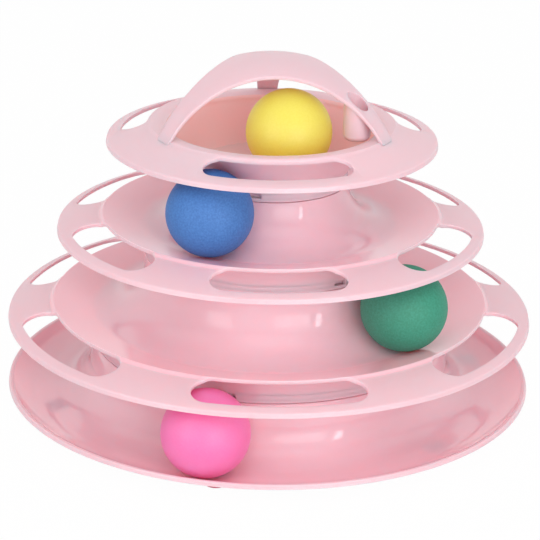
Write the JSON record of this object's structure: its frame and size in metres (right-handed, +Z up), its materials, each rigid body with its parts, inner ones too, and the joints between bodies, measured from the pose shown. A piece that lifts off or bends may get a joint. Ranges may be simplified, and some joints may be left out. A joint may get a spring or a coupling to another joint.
{
  "type": "cat ball track toy",
  "caption": "Tower of stacked round ball tracks with paw slots, balls that roll round their tracks, twist-lock levels and a three-legged dome handle with a teaser socket.",
  "frame": {"origin": "on the table, under the centre of the tower", "axes": "+Z up along the tower's axis; -Y towards the front slot of the top tray; +X to the right of it"},
  "size_m": [0.2518, 0.2518, 0.1689],
  "materials": {
    "pink_plastic": "glossy, slightly translucent",
    "foot_rubber": "matte",
    "pink_ball": "smooth satin",
    "green_ball": "frosted",
    "blue_ball": "frosted",
    "yellow_ball": "smooth satin"
  },
  "bodies": {
    "base": {"base_tray": "pink_plastic", "foot_pad_1": "foot_rubber", "foot_pad_2": "foot_rubber", "foot_pad_3": "foot_rubber", "foot_pad_4": "foot_rubber", "foot_pad_5": "foot_rubber", "foot_pad_6": "foot_rubber"},
    "lower_level": {"lower_track": "pink_plastic"},
    "middle_level": {"middle_track": "pink_plastic"},
    "top_level": {"top_tray": "pink_plastic", "dome_handle": "pink_plastic"},
    "pink_ball": {"pink_ball": "pink_ball"},
    "green_ball": {"green_ball": "green_ball"},
    "blue_ball": {"blue_ball": "blue_ball"},
    "yellow_ball": {"yellow_ball": "yellow_ball"}
  },
  "joints": [
    {"name": "lower_twist", "type": "hinge", "parent": "base", "child": "lower_level", "pos_m": [0, 0, 0.0325], "axis": [0, 0, 1], "range_deg": [0, 12]},
    {"name": "middle_twist", "type": "hinge", "parent": "lower_level", "child": "middle_level", "pos_m": [0, 0, 0.0755], "axis": [0, 0, 1], "range_deg": [0, 12]},
    {"name": "top_twist", "type": "hinge", "parent": "middle_level", "child": "top_level", "pos_m": [0, 0, 0.1115], "axis": [0, 0, 1], "range_deg": [0, 12]},
    {"name": "pink_orbit", "type": "hinge", "parent": "base", "child": "pink_ball", "pos_m": [0, 0, 0.02485], "axis": [0, 0, 1], "continuous": true},
    {"name": "green_orbit", "type": "hinge", "parent": "lower_level", "child": "green_ball", "pos_m": [0, 0, 0.06615], "axis": [0, 0, 1], "continuous": true},
    {"name": "blue_orbit", "type": "hinge", "parent": "middle_level", "child": "blue_ball", "pos_m": [0, 0, 0.10915], "axis": [0, 0, 1], "continuous": true},
    {"name": "yellow_orbit", "type": "hinge", "parent": "top_level", "child": "yellow_ball", "pos_m": [0, 0, 0.13725], "axis": [0, 0, 1], "continuous": true}
  ]
}
